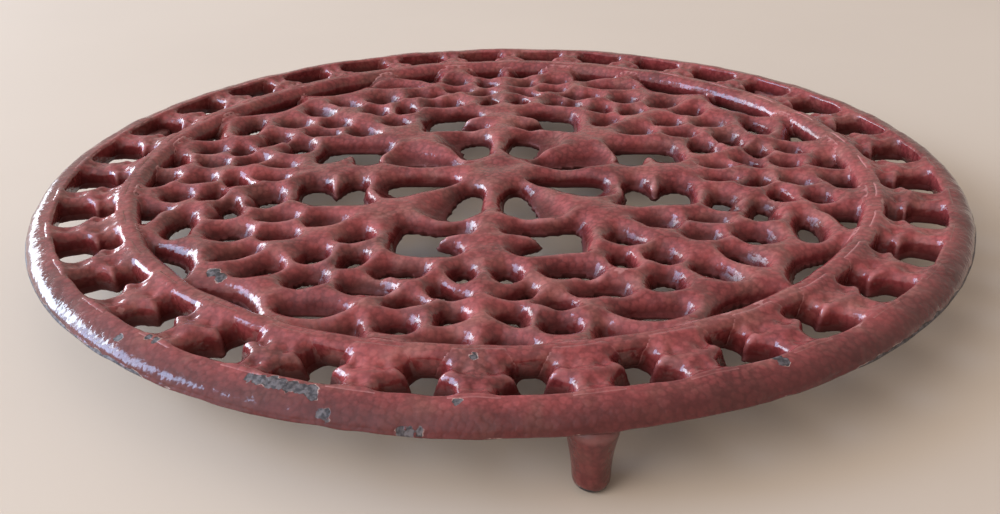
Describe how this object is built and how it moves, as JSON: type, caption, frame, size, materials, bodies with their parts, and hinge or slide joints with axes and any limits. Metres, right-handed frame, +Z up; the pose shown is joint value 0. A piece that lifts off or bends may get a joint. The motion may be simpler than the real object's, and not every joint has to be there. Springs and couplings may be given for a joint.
{
  "type": "trivet",
  "caption": "Round lace-pattern trivet in oxblood enamelled cast iron, with a beaded ring, barred border, rounded rim and short tapered feet.",
  "frame": {"origin": "centre of the disc, on the plane its three feet stand on", "axes": "+Z up out of the disc; X and Y along the arms of the lace pattern"},
  "size_m": [0.22, 0.22, 0.0182],
  "materials": {
    "body_enamel": "glossy oxblood vitreous enamel over cast iron, chipped to grey iron in spots",
    "foot_enamel": "the same enamel, worn to bare dark iron at the tip"
  },
  "bodies": {
    "root": {"lace_panel": "body_enamel", "bead_ring": "body_enamel", "outer_rim": "body_enamel", "border_bar_01": "body_enamel", "border_bar_02": "body_enamel", "border_bar_03": "body_enamel", "border_bar_04": "body_enamel", "border_bar_05": "body_enamel", "border_bar_06": "body_enamel", "border_bar_07": "body_enamel", "border_bar_08": "body_enamel", "border_bar_09": "body_enamel", "border_bar_10": "body_enamel", "border_bar_11": "body_enamel", "border_bar_12": "body_enamel", "border_bar_13": "body_enamel", "border_bar_14": "body_enamel", "border_bar_15": "body_enamel", "border_bar_16": "body_enamel", "border_bar_17": "body_enamel", "border_bar_18": "body_enamel", "border_bar_19": "body_enamel", "border_bar_20": "body_enamel", "border_bar_21": "body_enamel", "border_bar_22": "body_enamel", "border_bar_23": "body_enamel", "border_bar_24": "body_enamel", "border_bar_25": "body_enamel", "border_bar_26": "body_enamel", "border_bar_27": "body_enamel", "border_bar_28": "body_enamel", "border_bar_29": "body_enamel", "border_bar_30": "body_enamel", "border_bar_31": "body_enamel", "border_bar_32": "body_enamel", "foot_1": "foot_enamel", "foot_2": "foot_enamel", "foot_3": "foot_enamel"}
  },
  "joints": []
}
